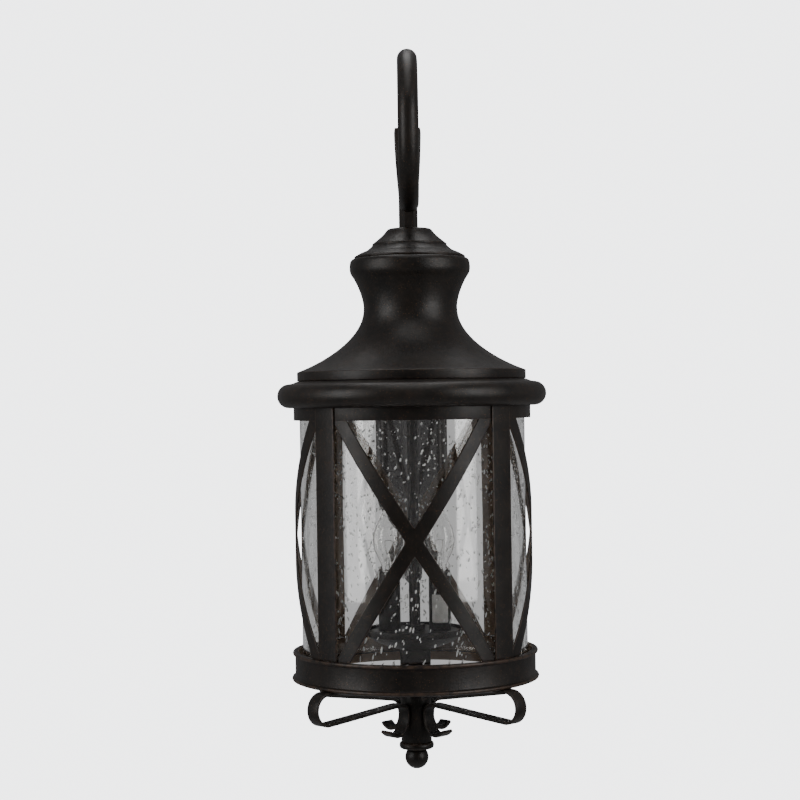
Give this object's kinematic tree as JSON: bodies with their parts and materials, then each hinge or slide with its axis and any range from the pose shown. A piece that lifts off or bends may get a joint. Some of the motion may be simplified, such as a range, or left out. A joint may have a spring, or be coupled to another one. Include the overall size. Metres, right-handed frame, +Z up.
{
  "type": "outdoor wall lantern",
  "caption": "Round outdoor wall lantern hung from a crook arm, with a crossed-strap cage, seeded-glass cylinder, waisted roof, candle lamps and scrolls below.",
  "frame": {"origin": "the wall plane at the middle of the mounting bracket", "axes": "+Z up, +Y into the wall, -Y out towards the viewer, +X to the viewer's right"},
  "size_m": [0.2294, 0.2797, 0.6137],
  "materials": {
    "bronze": "satin oil-rubbed bronze with worn copper edges",
    "zinc": "zinc plated",
    "lamp_brass": "bright",
    "seeded_glass": "clear with small bubbles",
    "lamp_glass": "clear",
    "black_rubber": "matte",
    "phenolic": "moulded",
    "label": "blank self-adhesive label",
    "green_screw": "green ground screw"
  },
  "bodies": {
    "fixture": {"mounting_bracket": "zinc", "wall_gasket": "black_rubber", "backplate": "bronze", "mounting_stud_left": "zinc", "mounting_stud_right": "zinc", "cap_nut_left": "bronze", "cap_nut_right": "bronze", "ground_screw": "green_screw", "arm_tube": "bronze", "arm_tail": "bronze", "arm_boss_upper": "bronze", "arm_boss_lower": "bronze", "supply_lead": "black_rubber", "hanging_coupling": "bronze", "centre_rod": "zinc", "roof_cap": "bronze", "roof_bell": "bronze", "roof_rim": "bronze", "roof_locknut": "zinc", "socket_dish": "bronze", "socket_plate": "bronze", "cluster_nut": "bronze", "candle_sleeve_left": "bronze", "candle_sleeve_right": "bronze", "lampholder_left": "phenolic", "lampholder_right": "phenolic", "sleeve_label": "label"},
    "cage": {"cage_top_band": "bronze", "cage_lower_rail": "bronze", "cage_cross_front": "bronze", "cage_cross_right": "bronze", "cage_cross_back": "bronze", "cage_cross_left": "bronze", "cage_bar_1": "bronze", "cage_bar_2": "bronze", "cage_bar_3": "bronze", "cage_bar_4": "bronze", "base_ring": "bronze", "glass_seat": "bronze", "glass_cylinder": "seeded_glass", "scroll_1": "bronze", "scroll_2": "bronze", "scroll_3": "bronze", "scroll_4": "bronze", "hub_column": "bronze", "hub_cap": "bronze"},
    "finial": {"finial_ball": "bronze"},
    "lamp_left": {"lamp_base_left": "lamp_brass", "lamp_glass_left": "lamp_glass", "lamp_filament_left": "zinc"},
    "lamp_right": {"lamp_base_right": "lamp_brass", "lamp_glass_right": "lamp_glass", "lamp_filament_right": "zinc"}
  },
  "joints": [
    {"name": "cage_drop", "type": "slide", "parent": "fixture", "child": "cage", "axis": [0, 0, -1], "range_m": [0, 0.23]},
    {"name": "finial_screw", "type": "hinge", "parent": "cage", "child": "finial", "pos_m": [0, -0.165, -0.3066], "axis": [0, 0, 1], "continuous": true},
    {"name": "lamp_left_screw", "type": "hinge", "parent": "fixture", "child": "lamp_left", "pos_m": [-0.0215, -0.165, -0.156], "axis": [0, 0, 1], "continuous": true},
    {"name": "lamp_right_screw", "type": "hinge", "parent": "fixture", "child": "lamp_right", "pos_m": [0.0215, -0.165, -0.156], "axis": [0, 0, 1], "continuous": true}
  ]
}
